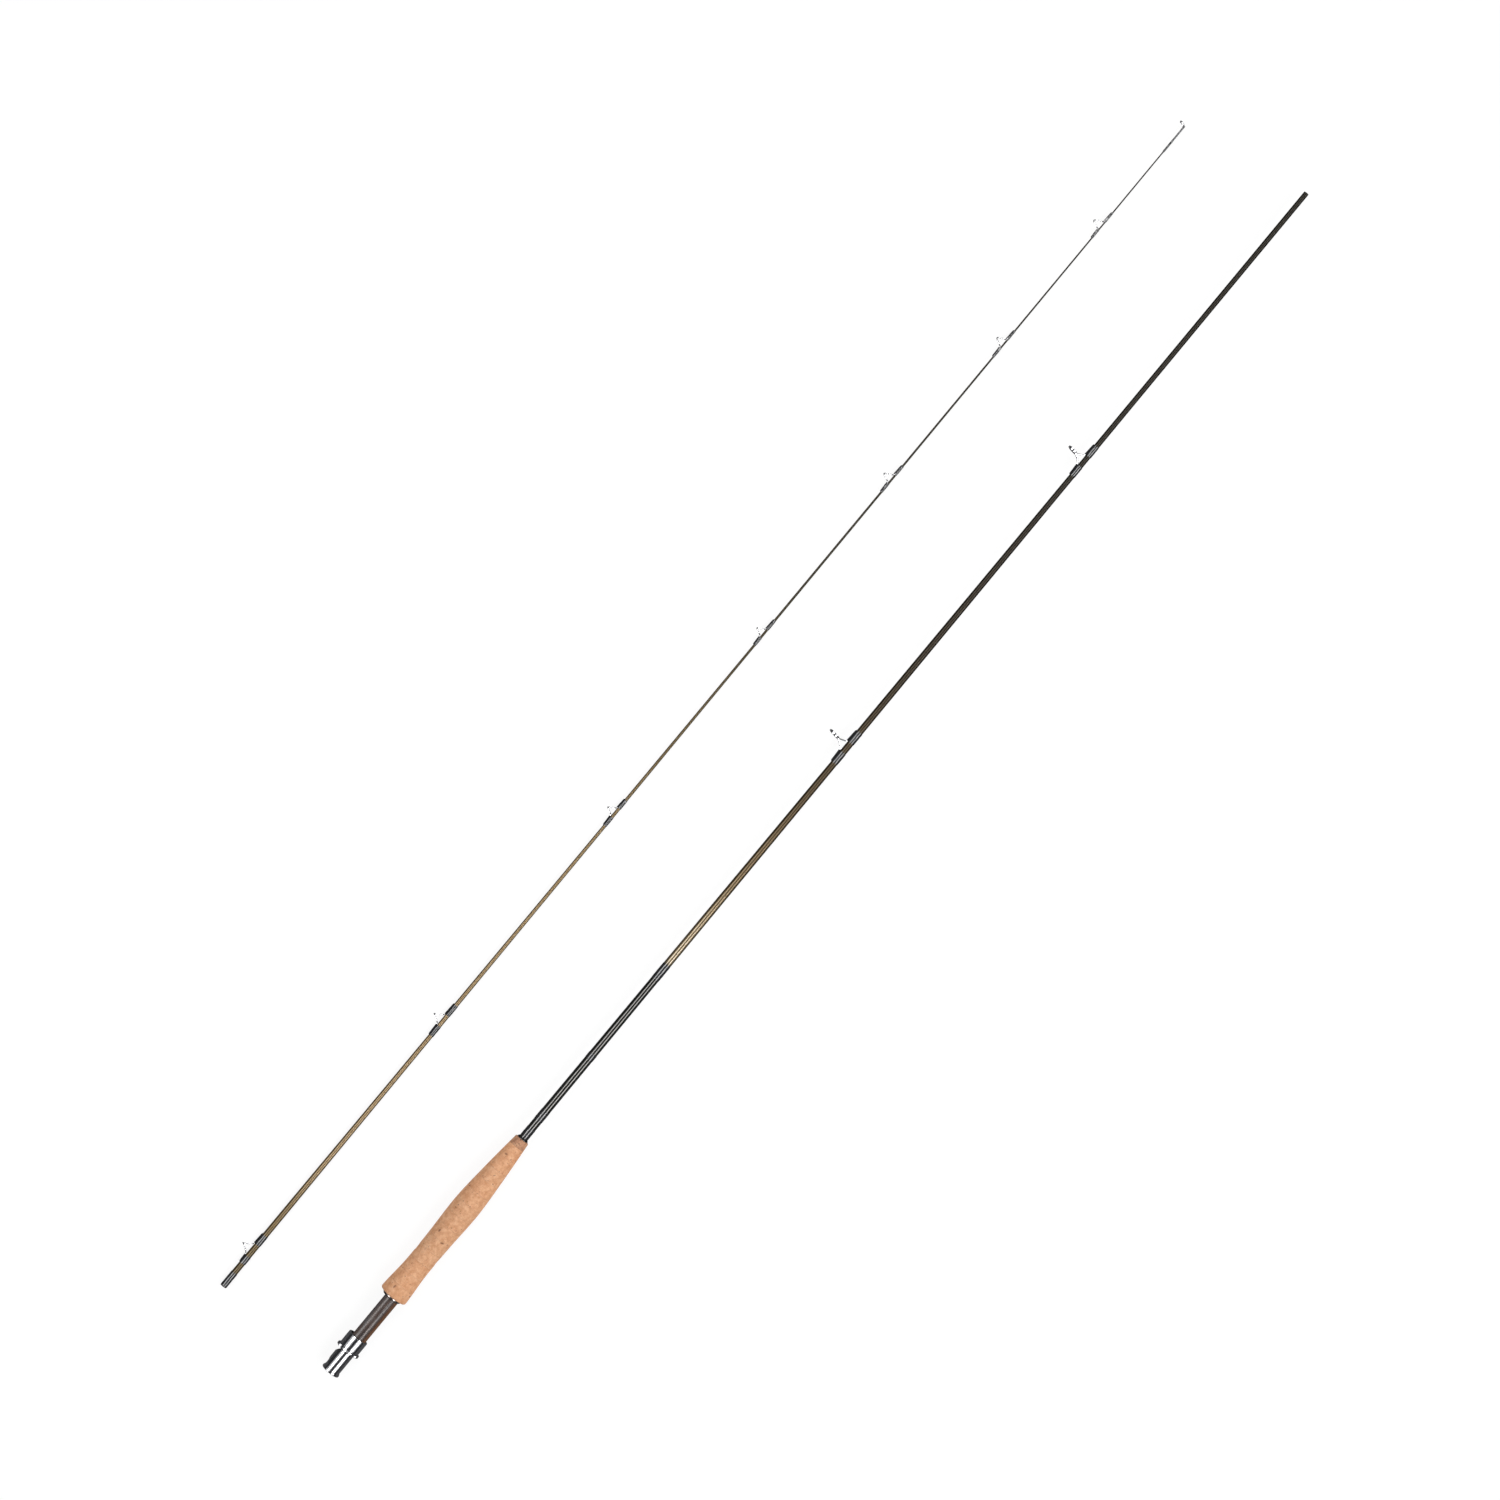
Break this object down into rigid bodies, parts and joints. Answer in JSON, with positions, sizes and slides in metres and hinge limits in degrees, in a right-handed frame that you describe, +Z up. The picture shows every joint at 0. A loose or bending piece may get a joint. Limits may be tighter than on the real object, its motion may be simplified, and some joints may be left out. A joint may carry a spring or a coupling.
{
  "type": "fly fishing rod",
  "caption": "Two-piece fly rod taken apart: butt section with cork grip and cap-and-ring reel seat, and a tapered tip section with wire line guides.",
  "frame": {"origin": "centre of the butt cap's flat end face, on the axis of the butt section", "axes": "+X along the butt section from the butt cap to its male ferrule, +Y towards the line guides and the tip section beside it, +Z up from the surface that both sections lie on"},
  "size_m": [1.3308, 0.1431, 0.0262],
  "materials": {
    "butt_blank": "glossy clear coat over black near the grip and dark bronze beyond",
    "tip_blank": "glossy olive bronze turning to near black at the tip",
    "seat_wood": "dark figured hardwood with a gloss finish",
    "arbor": "rigid foam, hidden",
    "seat_metal": "polished, slightly grey",
    "trim_metal": "polished dark metal",
    "cork": "sanded cork with small dark pits",
    "dark_cork": "dense reddish cork composite",
    "winding_check": "black",
    "thread_wrap": "black thread under clear epoxy",
    "guide_insert": "polished dark grey ceramic",
    "guide_wire": "bright polished wire",
    "tip_top_metal": "bright polished wire and tube"
  },
  "bodies": {
    "butt_section": {"butt_blank": "butt_blank", "butt_cap": "seat_metal", "cork_ring_01": "cork", "cork_ring_02": "cork", "cork_ring_03": "cork", "cork_ring_04": "cork", "cork_ring_05": "cork", "cork_ring_06": "cork", "cork_ring_07": "cork", "cork_ring_08": "cork", "cork_ring_09": "cork", "cork_ring_10": "cork", "cork_ring_11": "cork", "cork_ring_12": "cork", "cork_ring_13": "cork", "cork_ring_14": "dark_cork", "label_wrap_1": "thread_wrap", "label_wrap_2": "thread_wrap", "label_wrap_3": "thread_wrap", "label_wrap_4": "thread_wrap", "reel_seat_arbor": "arbor", "reel_seat_insert": "seat_wood", "seat_trim_ring": "trim_metal", "stripping_guide_1_frame": "guide_wire", "stripping_guide_1_front_wrap": "thread_wrap", "stripping_guide_1_rear_wrap": "thread_wrap", "stripping_guide_1_ring": "guide_insert", "stripping_guide_2_frame": "guide_wire", "stripping_guide_2_front_wrap": "thread_wrap", "stripping_guide_2_rear_wrap": "thread_wrap", "stripping_guide_2_ring": "guide_insert", "winding_check": "winding_check"},
    "slide_ring": {"slide_ring": "seat_metal"},
    "tip_section": {"ferrule_wrap": "thread_wrap", "snake_guide_1": "guide_wire", "snake_guide_1_front_wrap": "thread_wrap", "snake_guide_1_rear_wrap": "thread_wrap", "snake_guide_2": "guide_wire", "snake_guide_2_front_wrap": "thread_wrap", "snake_guide_2_rear_wrap": "thread_wrap", "snake_guide_3": "guide_wire", "snake_guide_3_front_wrap": "thread_wrap", "snake_guide_3_rear_wrap": "thread_wrap", "snake_guide_4": "guide_wire", "snake_guide_4_front_wrap": "thread_wrap", "snake_guide_4_rear_wrap": "thread_wrap", "snake_guide_5": "guide_wire", "snake_guide_5_front_wrap": "thread_wrap", "snake_guide_5_rear_wrap": "thread_wrap", "snake_guide_6": "guide_wire", "snake_guide_6_front_wrap": "thread_wrap", "snake_guide_6_rear_wrap": "thread_wrap", "snake_guide_7": "guide_wire", "snake_guide_7_front_wrap": "thread_wrap", "snake_guide_7_rear_wrap": "thread_wrap", "tip_blank": "tip_blank", "tip_top_loop": "tip_top_metal", "tip_top_tube": "tip_top_metal", "tip_top_wrap": "thread_wrap"}
  },
  "joints": [
    {"name": "ring_slide", "type": "slide", "parent": "butt_section", "child": "slide_ring", "axis": [1, 0, 0], "range_m": [0, 0.0437]},
    {"name": "tip_section_join", "type": "slide", "parent": "butt_section", "child": "tip_section", "axis": [0.9956, -0.0929, 0.0073], "range_m": [0, 1.27636]}
  ]
}
